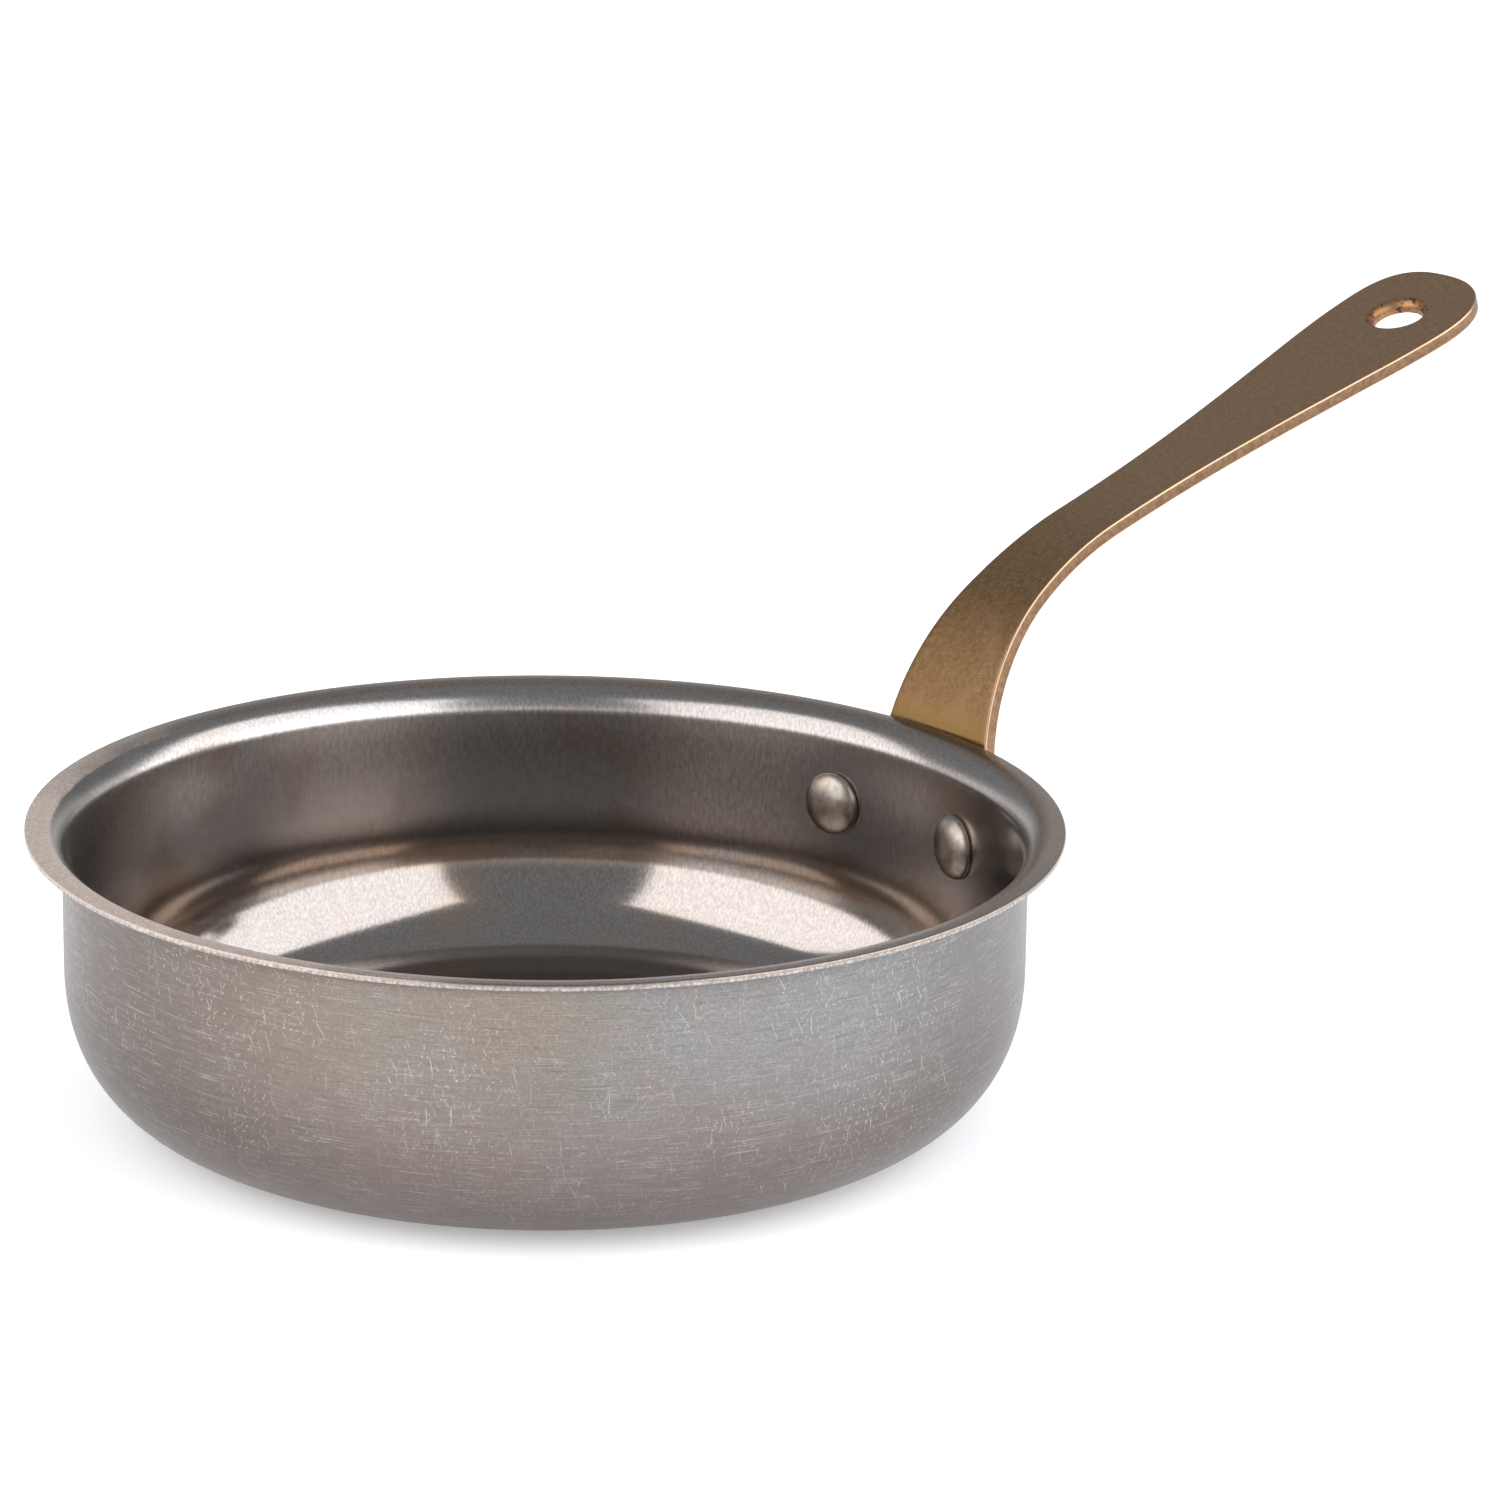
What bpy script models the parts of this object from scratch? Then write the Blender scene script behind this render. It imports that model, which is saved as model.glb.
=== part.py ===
"""A low saucepan: a pressed steel pan with a flared lip, and a flat bronze handle held by two rivets.

The origin is the middle of the underside, +Z is up and the handle points along +X.
"""

import math

import bmesh
import bpy
from mathutils import Matrix, Vector

# The pan: one disc of sheet, pressed into a flat base, a rolled corner, an upright wall and a lip.
RIM_RADIUS = 0.0800
WALL_RADIUS = 0.0744
PAN_HEIGHT = 0.0454
SHEET = 0.00095
LIP_ROLL = 0.0040  # inside radius of the bend from the wall out to the flat lip
CORNER_WIDTH = 0.0210  # the rolled corner is a superellipse this wide ...
CORNER_HEIGHT = 0.0234  # ... and this high ...
CORNER_POWER = 2.25  # ... with this exponent: 2 would be a plain ellipse
TURN_STEPS = 72
CORNER_STEPS = 8
LIP_STEPS = 4

# The handle: a flat bar, cut to its outline and bent. Distances along it start at the rim's height.
BAR_THICKNESS = 0.0024
BAR_EDGE = 0.0003  # the small chamfer round its edges
RIM_CLEARANCE = 0.0010  # from the lip's edge to the bar's inner face
RIM_SLOPE = math.radians(76.7)  # how steeply the bar passes the rim
END_SLOPE = math.radians(19.0)  # how steeply its straight part climbs
FIRST_BEND = (0.037, math.radians(37.5))  # radius, and the slope where this bend ends
SECOND_BEND = (0.065, END_SLOPE)
BAR_REACH = 0.1378  # along the bar, from the rim's height to the tip
TIP_LENGTH = 0.0158
TIP_POWER = 2.5
# (distance from the rim's height, half the width there): it narrows to a waist and widens to a leaf
HALF_WIDTHS = (
    (0.000, 0.0116),
    (0.014, 0.0094),
    (0.028, 0.00755),
    (0.046, 0.00665),
    (0.064, 0.0070),
    (0.082, 0.0085),
    (0.100, 0.01075),
    (0.112, 0.0123),
    (0.122, 0.0130),
)
LEAF_SKEW = 0.0022  # the tip was cut this far to one side ...
SKEW_START = 0.120  # ... the leaf leaning over gradually from here on
HANGING_BORE = 0.0043
HANGING_PLACE = 0.1231
BAR_STEPS = 34
TIP_STEPS = 9
BEND_FLAT = 6  # degrees: each bend is made of flats that turn about this much

# The foot of the handle: a plate that follows the wall, joined to the bar by a step under the lip.
FOOT_GAP = 0.0003
STEP_RADIUS = 0.007
STEP_TOP = 0.0014  # below the rim's height
FOOT_CORNER = 0.0070  # the plate's corners are rounded about the rivets
FOOT_CORNER_STEPS = 9
NECK_STEPS = 8  # along the shoulder, from the plate's corner up to the bar
WRAP_SCORES = 4  # the plate is scored so many times either side of its middle, to wrap round the wall
WRAP_SPACING = 0.0048

# The rivets
RIVET_DROP = 0.0150  # below the rim's height
RIVET_ANGLE = math.radians(11.8)  # either side of the handle's direction
SHANK_RADIUS = 0.0025
SHANK_PLAY = 0.0003
HEAD_RADIUS = 0.00525
HEAD_HEIGHT = 0.0022
HEAD_SEAT = 0.0729  # distance of the head's flat face from the pan's axis
TAIL_RADIUS = 0.0043
TAIL_HEIGHT = 0.0015
RIVET_CUTTER_LENGTH = 0.012  # enough for wall and plate
RIVET_STEPS = 24
DOME_STEPS = 5

SHARP_CORNER = math.radians(35)  # corners turning more than this are shaded sharp
EASED_CORNER = math.radians(60)  # and the bar's corners turning more than this are chamfered

FOOT_RADIUS = WALL_RADIUS + FOOT_GAP
TAIL_SEAT = FOOT_RADIUS + BAR_THICKNESS + FOOT_GAP


def clear_scene():
    for old in list(bpy.data.objects):
        bpy.data.objects.remove(old)


def metal(name, colour, roughness):
    """A metal with the part's own colour and roughness."""
    material = bpy.data.materials.new(name)
    material.use_nodes = True
    shader = material.node_tree.nodes["Principled BSDF"]
    shader.inputs["Base Color"].default_value = (*colour, 1.0)
    shader.inputs["Metallic"].default_value = 1.0
    shader.inputs["Roughness"].default_value = roughness
    material.diffuse_color = (*colour, 1.0)
    return material


def add_object(name, shape, material=None):
    """Turns a bmesh into an object at the origin, shaded smooth except at its corners."""
    bmesh.ops.recalc_face_normals(shape, faces=shape.faces)
    mesh = bpy.data.meshes.new(name)
    shape.to_mesh(mesh)
    shape.free()
    mesh.shade_smooth()
    mesh.set_sharp_from_angle(angle=SHARP_CORNER)
    piece = bpy.data.objects.new(name, mesh)
    bpy.context.scene.collection.objects.link(piece)
    if material is None:
        piece.hide_render = True
        piece.display_type = "WIRE"
    else:
        mesh.materials.append(material)
    return piece


def arc(centre, radius, start, end, steps):
    """Points on an arc in a plane, from one angle in degrees to another."""
    points = []
    for i in range(steps + 1):
        angle = math.radians(start + (end - start) * i / steps)
        points.append((centre[0] + radius * math.cos(angle), centre[1] + radius * math.sin(angle)))
    return points


def turned(profile, steps):
    """A bmesh of revolution about Z from (radius, height) points that start and end on the axis."""
    shape = bmesh.new()
    points = [shape.verts.new((radius, 0, height)) for radius, height in profile]
    edges = [shape.edges.new(pair) for pair in zip(points, points[1:])]
    bmesh.ops.spin(
        shape,
        geom=points + edges,
        cent=(0, 0, 0),
        axis=(0, 0, 1),
        angle=math.tau,
        steps=steps,
        use_merge=True,
    )
    bmesh.ops.remove_doubles(shape, verts=shape.verts, dist=1e-6)
    return shape


def corner(inset):
    """The corner between base and wall, from the base outwards, moved into the sheet by inset."""
    width = CORNER_WIDTH - inset
    height = CORNER_HEIGHT - inset
    power = 2 / CORNER_POWER
    points = []
    for i in range(CORNER_STEPS + 1):
        angle = math.pi / 2 * i / CORNER_STEPS
        points.append(
            (
                WALL_RADIUS - CORNER_WIDTH + width * math.sin(angle) ** power,
                CORNER_HEIGHT - height * math.cos(angle) ** power,
            )
        )
    return points


def make_pan():
    """Half the sheet's section, round the outside from the base to the lip and back down the inside."""
    roll_centre = (WALL_RADIUS + LIP_ROLL, PAN_HEIGHT - SHEET - LIP_ROLL)
    outside = corner(0) + arc(roll_centre, LIP_ROLL, 180, 90, LIP_STEPS)
    inside = corner(SHEET) + arc(roll_centre, LIP_ROLL + SHEET, 180, 90, LIP_STEPS)
    edge = [(RIM_RADIUS, PAN_HEIGHT - SHEET), (RIM_RADIUS, PAN_HEIGHT)]
    profile = [(0, 0)] + outside + edge + inside[::-1] + [(0, SHEET)]
    steel = metal("aged_steel", (0.36, 0.34, 0.32), 0.34)
    return add_object("pan_body", turned(profile, TURN_STEPS), steel)


def bar_stretches():
    """The bar's inner face from the foot up: (length, start slope, end slope) of each stretch.

    The step under the lip leans out from the upright foot and back to the rim slope, on two equal
    radii: with d the way out, sin(lean) = (1 + sin(rim slope) - d / radius) / 2.
    """
    upright = math.pi / 2
    step_out = RIM_RADIUS + RIM_CLEARANCE - STEP_TOP / math.tan(RIM_SLOPE) - FOOT_RADIUS
    lean = math.asin((1 + math.sin(RIM_SLOPE) - step_out / STEP_RADIUS) / 2)
    step_rise = STEP_RADIUS * (2 * math.cos(lean) - math.cos(RIM_SLOPE))
    foot_height = RIVET_DROP + FOOT_CORNER - STEP_TOP - step_rise
    below = [
        (foot_height, upright, upright),
        (STEP_RADIUS * (upright - lean), upright, lean),
        (STEP_RADIUS * (RIM_SLOPE - lean), lean, RIM_SLOPE),
        (STEP_TOP / math.sin(RIM_SLOPE), RIM_SLOPE, RIM_SLOPE),
    ]
    above = []
    slope = RIM_SLOPE
    for radius, end in (FIRST_BEND, SECOND_BEND):
        above.append((radius * (slope - end), slope, end))
        slope = end
    straight = BAR_REACH - sum(stretch[0] for stretch in above)
    above.append((straight, slope, slope))
    return below, above


def bar_place(distance, below, above):
    """(radius, height, slope) of the inner face at a distance along it from the rim's height."""
    radius = FOOT_RADIUS
    height = PAN_HEIGHT - RIVET_DROP - FOOT_CORNER
    along = distance + sum(stretch[0] for stretch in below)
    slope = math.pi / 2
    for length, start, end in below + above:
        part = min(along, length)
        slope = start + (end - start) * part / length
        if start == end:
            radius += part * math.cos(start)
            height += part * math.sin(start)
        else:
            bend = length / (end - start)
            radius += bend * (math.sin(slope) - math.sin(start))
            height += bend * (math.cos(start) - math.cos(slope))
        along -= part
        if along <= 0:
            break
    return radius, height, slope


def hermite(t, start, end, start_rate, end_rate):
    """A cubic from start to end with the given rates of change, t going from 0 to 1."""
    return (
        start * (1 + 2 * t) * (1 - t) ** 2
        + start_rate * t * (1 - t) ** 2
        + end * t * t * (3 - 2 * t)
        + end_rate * t * t * (t - 1)
    )


def half_width(distance):
    """Half the bar's width: a smooth cubic through the stations of HALF_WIDTHS."""
    rates = []
    for i in range(len(HALF_WIDTHS)):
        before = HALF_WIDTHS[max(i - 1, 0)]
        after = HALF_WIDTHS[min(i + 1, len(HALF_WIDTHS) - 1)]
        rates.append((after[1] - before[1]) / (after[0] - before[0]))
    rates[-1] = 0
    if distance >= HALF_WIDTHS[-1][0]:
        return HALF_WIDTHS[-1][1]
    i = max(i for i, station in enumerate(HALF_WIDTHS) if station[0] <= distance)
    (start, width), (end, next_width) = HALF_WIDTHS[i], HALF_WIDTHS[i + 1]
    span = end - start
    return hermite((distance - start) / span, width, next_width, rates[i] * span, rates[i + 1] * span)


def blank_side(below):
    """One side of the flat blank, as (distance, half width) points from the middle of the foot to the tip."""
    foot_end = -sum(stretch[0] for stretch in below)
    rivet = (foot_end + FOOT_CORNER, (TAIL_SEAT - BAR_THICKNESS) * math.sin(RIVET_ANGLE))
    side = [(foot_end, 0)]
    side += arc(rivet, FOOT_CORNER, 180, 45, FOOT_CORNER_STEPS)
    shoulder = side.pop()
    (start, width), (end, next_width) = HALF_WIDTHS[:2]
    waist_rate = (next_width - width) / (end - start)
    for i in range(NECK_STEPS):
        t = i / NECK_STEPS
        across = hermite(t, shoulder[1], width, shoulder[0], waist_rate * -shoulder[0])
        side.append((shoulder[0] * (1 - t), across))
    straight_end = BAR_REACH - TIP_LENGTH
    for i in range(BAR_STEPS):
        distance = straight_end * i / BAR_STEPS
        side.append((distance, half_width(distance)))
    for i in range(TIP_STEPS + 1):
        angle = math.pi / 2 * i / TIP_STEPS
        distance = straight_end + TIP_LENGTH * math.sin(angle) ** (2 / TIP_POWER)
        side.append((distance, half_width(distance) * max(math.cos(angle), 0) ** (2 / TIP_POWER)))
    return side


def bend_marks(below, above):
    """Distances along the blank where it is scored across, so that each bend is made of short flats."""
    marks = []
    distance = -sum(stretch[0] for stretch in below)
    for length, start, end in below + above:
        flats = max(1, round(math.degrees(abs(end - start)) / BEND_FLAT))
        marks += [distance + length * i / flats for i in range(flats)]
        distance += length
    return marks[1:]


def make_handle():
    """Cuts the blank, scores it where it bends, bends it, and bores it for the rivets and a hook."""
    below, above = bar_stretches()
    side = blank_side(below)
    outline = side + [(distance, -width) for distance, width in side[-2:0:-1]]
    shape = bmesh.new()
    face = shape.faces.new([shape.verts.new((distance, width, 0)) for distance, width in outline])
    solid = bmesh.ops.extrude_face_region(shape, geom=[face])
    for vert in (item for item in solid["geom"] if isinstance(item, bmesh.types.BMVert)):
        vert.co.z = BAR_THICKNESS
    for mark in bend_marks(below, above):
        everything = shape.verts[:] + shape.edges[:] + shape.faces[:]
        bmesh.ops.bisect_plane(shape, geom=everything, plane_co=(mark, 0, 0), plane_no=(1, 0, 0))
    for score in range(-WRAP_SCORES, WRAP_SCORES + 1):
        foot = [face for face in shape.faces if face.calc_center_median().x < 0]
        edges = list({edge for face in foot for edge in face.edges})
        verts = list({vert for face in foot for vert in face.verts})
        bmesh.ops.bisect_plane(
            shape,
            geom=verts + edges + foot,
            plane_co=(0, score * WRAP_SPACING, 0),
            plane_no=(0, 1, 0),
        )
    foot_length = -side[0][0]
    for vert in shape.verts:
        distance, across, depth = vert.co
        skew = max(distance - SKEW_START, 0) / (BAR_REACH - SKEW_START)
        across += LEAF_SKEW * skew * skew
        radius, height, slope = bar_place(distance, below, above)
        # Upright, the plate is wrapped round the wall. It flattens out over the step below the lip.
        wrap = min(max(-distance / (foot_length - 2 * FOOT_CORNER), 0), 1)
        wrap = wrap * wrap * (3 - 2 * wrap)
        turn = math.asin(wrap * across / FOOT_RADIUS)
        sag = wrap * (FOOT_RADIUS - math.sqrt(FOOT_RADIUS**2 - across**2))
        vert.co = (
            radius - sag + depth * math.sin(slope) * math.cos(turn),
            across + depth * math.sin(slope) * math.sin(turn),
            height - depth * math.cos(slope),
        )
    handle = add_object("handle", shape, metal("aged_bronze", (0.33, 0.24, 0.16), 0.38))
    bevel = handle.modifiers.new("eased_edges", "BEVEL")
    bevel.width = BAR_EDGE
    bevel.segments = 1
    bevel.limit_method = "ANGLE"
    bevel.angle_limit = EASED_CORNER
    bore(handle, hanging_cutter(below, above))
    return handle


def cylinder_cutter(name, radius, length, place):
    shape = bmesh.new()
    bmesh.ops.create_cone(
        shape,
        cap_ends=True,
        segments=RIVET_STEPS,
        radius1=radius,
        radius2=radius,
        depth=length,
        matrix=place,
    )
    return add_object(name, shape)


def hanging_cutter(below, above):
    """A cylinder square to the straight part of the bar, longer than the bar is thick."""
    radius, height, slope = bar_place(HANGING_PLACE, below, above)
    tilt = Matrix.Rotation(-slope, 4, "Y")
    place = Matrix.Translation((radius, 0, height)) @ tilt
    return cylinder_cutter("cut_hanging_bore", HANGING_BORE, 6 * BAR_THICKNESS, place)


def bore(piece, cutter):
    cut = piece.modifiers.new(cutter.name, "BOOLEAN")
    cut.operation = "DIFFERENCE"
    cut.solver = "EXACT"
    cut.object = cutter


def rivet_place(angle):
    """Turns +Z to point out from the pan's axis at this angle, at the rivets' height."""
    outward = Vector((math.cos(angle), math.sin(angle), 0))
    turn = outward.to_track_quat("Z", "Y").to_matrix().to_4x4()
    return Matrix.Translation((0, 0, PAN_HEIGHT - RIVET_DROP)) @ turn


def dome(radius, height, seat, side):
    """A shallow ellipse from its edge to the axis: its flat face is at seat, and it rises to that side."""
    points = []
    for i in range(DOME_STEPS + 1):
        angle = math.pi / 2 * i / DOME_STEPS
        points.append((radius * math.cos(angle), seat + side * height * math.sin(angle)))
    points[-1] = (0, seat + side * height)
    return points


def make_rivet(name, angle, material):
    """A domed head inside the pan, a shank through wall and foot, and a lower tail set down outside."""
    head = dome(HEAD_RADIUS, HEAD_HEIGHT, HEAD_SEAT, -1)[::-1]
    tail = dome(TAIL_RADIUS, TAIL_HEIGHT, TAIL_SEAT, 1)
    shank = [(SHANK_RADIUS, HEAD_SEAT), (SHANK_RADIUS, TAIL_SEAT)]
    shape = turned(head + shank + tail, RIVET_STEPS)
    shape.transform(rivet_place(angle))
    return add_object(name, shape, material)


clear_scene()
pan = make_pan()
handle = make_handle()
rivet_metal = metal("aged_rivet_steel", (0.38, 0.35, 0.31), 0.32)
for side_name, side_angle in (("left", RIVET_ANGLE), ("right", -RIVET_ANGLE)):
    make_rivet("rivet_" + side_name, side_angle, rivet_metal)
    through = rivet_place(side_angle) @ Matrix.Translation((0, 0, FOOT_RADIUS))
    bore_radius = SHANK_RADIUS + SHANK_PLAY
    rivet_cutter = cylinder_cutter("cut_rivet_" + side_name, bore_radius, RIVET_CUTTER_LENGTH, through)
    bore(pan, rivet_cutter)
    bore(handle, rivet_cutter)
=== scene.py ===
import math

import bmesh
import bpy
import numpy as np
from mathutils import Matrix, Vector


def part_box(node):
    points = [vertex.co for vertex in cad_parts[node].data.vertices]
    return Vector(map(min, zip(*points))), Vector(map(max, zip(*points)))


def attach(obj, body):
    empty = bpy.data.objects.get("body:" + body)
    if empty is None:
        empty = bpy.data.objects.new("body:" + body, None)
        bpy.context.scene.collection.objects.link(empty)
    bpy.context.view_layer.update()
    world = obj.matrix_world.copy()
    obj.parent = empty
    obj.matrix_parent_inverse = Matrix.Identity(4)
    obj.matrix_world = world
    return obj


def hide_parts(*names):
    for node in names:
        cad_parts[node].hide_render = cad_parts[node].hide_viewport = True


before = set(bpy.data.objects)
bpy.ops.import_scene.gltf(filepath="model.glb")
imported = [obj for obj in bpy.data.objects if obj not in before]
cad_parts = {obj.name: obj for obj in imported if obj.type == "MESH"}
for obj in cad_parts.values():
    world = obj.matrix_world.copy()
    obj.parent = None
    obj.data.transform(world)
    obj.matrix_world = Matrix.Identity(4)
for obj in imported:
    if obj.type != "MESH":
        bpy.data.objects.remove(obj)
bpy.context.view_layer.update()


# ---------------------------------------------------------------- the camera
# It stands a good arm's length off, above the rim, and looks down a little at the pan, with the
# handle pointing away to the right. The lens is a long one, so that the pan looks hardly stretched.

CAMERA_DISTANCE = 0.8199
CAMERA_ROUND = math.radians(-128.2)  # where it stands, counted from the handle
CAMERA_ABOVE_RIM = 0.25526
CAMERA_PAN = math.radians(-2.177)  # turned a little to the right of the pan's middle
CAMERA_DIP = math.radians(-16.587)
CAMERA_ROLL = math.radians(0.928)
LENS_MM = 133.53
SENSOR_MM = 36.0
NEAREST_SEEN = 0.01

pan_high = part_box("pan_body")[1]
camera = bpy.data.objects.new("camera", bpy.data.cameras.new("camera"))
camera.data.sensor_width = SENSOR_MM
camera.data.lens = LENS_MM
camera.data.clip_start = NEAREST_SEEN
bpy.context.scene.collection.objects.link(camera)
facing = CAMERA_ROUND + math.pi + CAMERA_PAN
turned_camera = (
    Matrix.Rotation(facing - math.pi / 2, 4, "Z")
    @ Matrix.Rotation(math.pi / 2 + CAMERA_DIP, 4, "X")
    @ Matrix.Rotation(CAMERA_ROLL, 4, "Z")
)
camera.matrix_world = (
    Matrix.Translation(
        (
            CAMERA_DISTANCE * math.cos(CAMERA_ROUND),
            CAMERA_DISTANCE * math.sin(CAMERA_ROUND),
            pan_high.z + CAMERA_ABOVE_RIM,
        )
    )
    @ turned_camera
)
bpy.context.scene.camera = camera


# ---------------------------------------------------------------- the pan
# One disc of mild steel, pressed into a flat base, a rolled corner, an upright wall and a lip that
# turns out flat. It is brushed round the outside, then blackened and rubbed back, so that the metal
# is a warm pewter grey with bright nicks. It stands on its base, and the handle is riveted to it.

RIM_RADIUS = pan_high.x
PAN_HEIGHT = pan_high.z
WALL_RADIUS = 0.0744
SHEET = 0.00095
LIP_ROLL = 0.0040
CORNER_WIDTH = 0.0210
CORNER_HEIGHT = 0.0234
CORNER_POWER = 2.25
EDGE_ROUNDING = 0.00022
PAN_TURNS = 480  # points round the pan
FLAT_STEPS = 6  # points along each stretch of the section
CORNER_STEPS = 34
WALL_STEPS = 4
ROLL_STEPS = (12, 14)  # under the lip, and over it
LIP_STEPS = 2
EDGE_STEPS = 5
MERGE_DISTANCE = 2e-7


def arc_points(centre, radius, start, end, count):
    """Points of an arc, centre + radius (cos a, sin a), with a going evenly from start to end in
    degrees."""
    angle = np.radians(np.linspace(start, end, count))
    across = centre[0] + radius * np.cos(angle)
    return np.stack([across, centre[1] + radius * np.sin(angle)], axis=1)


def corner_points(inset, count):
    """The rolled corner, a quarter superellipse: radius and height go as the sine and cosine of an
    angle, to the power 2 / CORNER_POWER, inside a box that shrinks by the inset."""
    angle = np.linspace(0, math.pi / 2, count)
    power = 2 / CORNER_POWER
    return np.stack(
        [
            WALL_RADIUS - CORNER_WIDTH + (CORNER_WIDTH - inset) * np.sin(angle) ** power,
            CORNER_HEIGHT - (CORNER_HEIGHT - inset) * np.clip(np.cos(angle), 0, 1) ** power,
        ],
        axis=1,
    )


def straight_points(start, end, count):
    """Points evenly spaced between two points, without the two ends."""
    share = np.linspace(0, 1, count + 2)[1:-1, None]
    return np.array(start) * (1 - share) + np.array(end) * share


def pan_section():
    """Half the section of the sheet, from the middle of the underside round the lip to the middle
    of the floor, as (radius, height) points."""
    roll_r, roll_z = WALL_RADIUS + LIP_ROLL, PAN_HEIGHT - SHEET - LIP_ROLL
    flat_r, inner_r = WALL_RADIUS - CORNER_WIDTH, WALL_RADIUS - SHEET
    under_lip = PAN_HEIGHT - SHEET
    r = EDGE_ROUNDING
    edge_r = RIM_RADIUS - r
    stretches = [
        [(0.0, 0.0)],
        straight_points((0, 0), (flat_r, 0), FLAT_STEPS),
        corner_points(0, CORNER_STEPS),
        straight_points((WALL_RADIUS, CORNER_HEIGHT), (WALL_RADIUS, roll_z), WALL_STEPS),
        arc_points((roll_r, roll_z), LIP_ROLL, 180, 90, ROLL_STEPS[0]),
        straight_points((roll_r, under_lip), (edge_r, under_lip), LIP_STEPS),
        arc_points((edge_r, under_lip + r), r, -90, 0, EDGE_STEPS),
        arc_points((edge_r, PAN_HEIGHT - r), r, 0, 90, EDGE_STEPS),
        straight_points((edge_r, PAN_HEIGHT), (roll_r, PAN_HEIGHT), LIP_STEPS),
        arc_points((roll_r, roll_z), LIP_ROLL + SHEET, 90, 180, ROLL_STEPS[1]),
        straight_points((inner_r, roll_z), (inner_r, CORNER_HEIGHT), WALL_STEPS),
        corner_points(SHEET, CORNER_STEPS)[::-1],
        straight_points((flat_r, SHEET), (0, SHEET), FLAT_STEPS),
        [(0.0, SHEET)],
    ]
    return np.concatenate([np.array(part, dtype=float) for part in stretches])


def add_piece(name, points, faces, values=None):
    """An object from an array of points and a list of face arrays. Points that coincide are merged,
    the faces are turned outwards, and named values are kept at the points."""
    mesh = bpy.data.meshes.new(name)
    loops = np.concatenate([part.reshape(-1) for part in faces])
    sizes = np.concatenate([np.full(len(part), part.shape[1]) for part in faces])
    mesh.vertices.add(len(points))
    mesh.vertices.foreach_set("co", points.astype(np.float32).reshape(-1))
    mesh.loops.add(len(loops))
    mesh.loops.foreach_set("vertex_index", loops.astype(np.int32))
    mesh.polygons.add(len(sizes))
    mesh.polygons.foreach_set("loop_start", (np.cumsum(sizes) - sizes).astype(np.int32))
    mesh.update(calc_edges=True)
    for value_name, value in (values or {}).items():
        kept = mesh.attributes.new(value_name, "FLOAT", "POINT")
        kept.data.foreach_set("value", value.astype(np.float32).reshape(-1))
    shape = bmesh.new()
    shape.from_mesh(mesh)
    bmesh.ops.remove_doubles(shape, verts=shape.verts, dist=MERGE_DISTANCE)
    bmesh.ops.recalc_face_normals(shape, faces=shape.faces)
    shape.to_mesh(mesh)
    shape.free()
    mesh.shade_smooth()
    piece = bpy.data.objects.new(name, mesh)
    bpy.context.scene.collection.objects.link(piece)
    return piece


def grid_faces(rows, columns, wraps=False, start=0):
    """Quads between neighbours of a grid of points, numbered along its rows. With wraps, the last
    column is joined to the first."""
    row, column = np.meshgrid(
        np.arange(rows - 1), np.arange(columns if wraps else columns - 1), indexing="ij"
    )
    beside = (column + 1) % columns
    quads = [row * columns + column, row * columns + beside, (row + 1) * columns + beside]
    quads.append((row + 1) * columns + column)
    return start + np.stack(quads, axis=-1).reshape(-1, 4)


def turned_piece(name, section, turns, place=Matrix.Identity(4)):
    """A section (radius r, height h) carried round an axis: each point is (r cos t, r sin t, h),
    with t going once round. The distance along the section, past its widest point, is kept as
    "from_rim"."""
    angle = np.linspace(0, math.tau, turns, endpoint=False)
    radius, height = section[:, :1], section[:, 1:]
    points = np.stack(
        [radius * np.cos(angle), radius * np.sin(angle), height + 0 * angle], axis=-1
    ).reshape(-1, 3)
    steps = np.hypot(*np.diff(section, axis=0).T)
    along = np.concatenate([[0], np.cumsum(steps)])
    from_rim = np.repeat(along - along[np.argmax(section[:, 0])], turns)
    turn = np.array(place)
    points = points @ turn[:3, :3].T + turn[:3, 3]
    faces = [grid_faces(len(section), turns, wraps=True)]
    return add_piece(name, points, faces, {"from_rim": from_rim})


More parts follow.
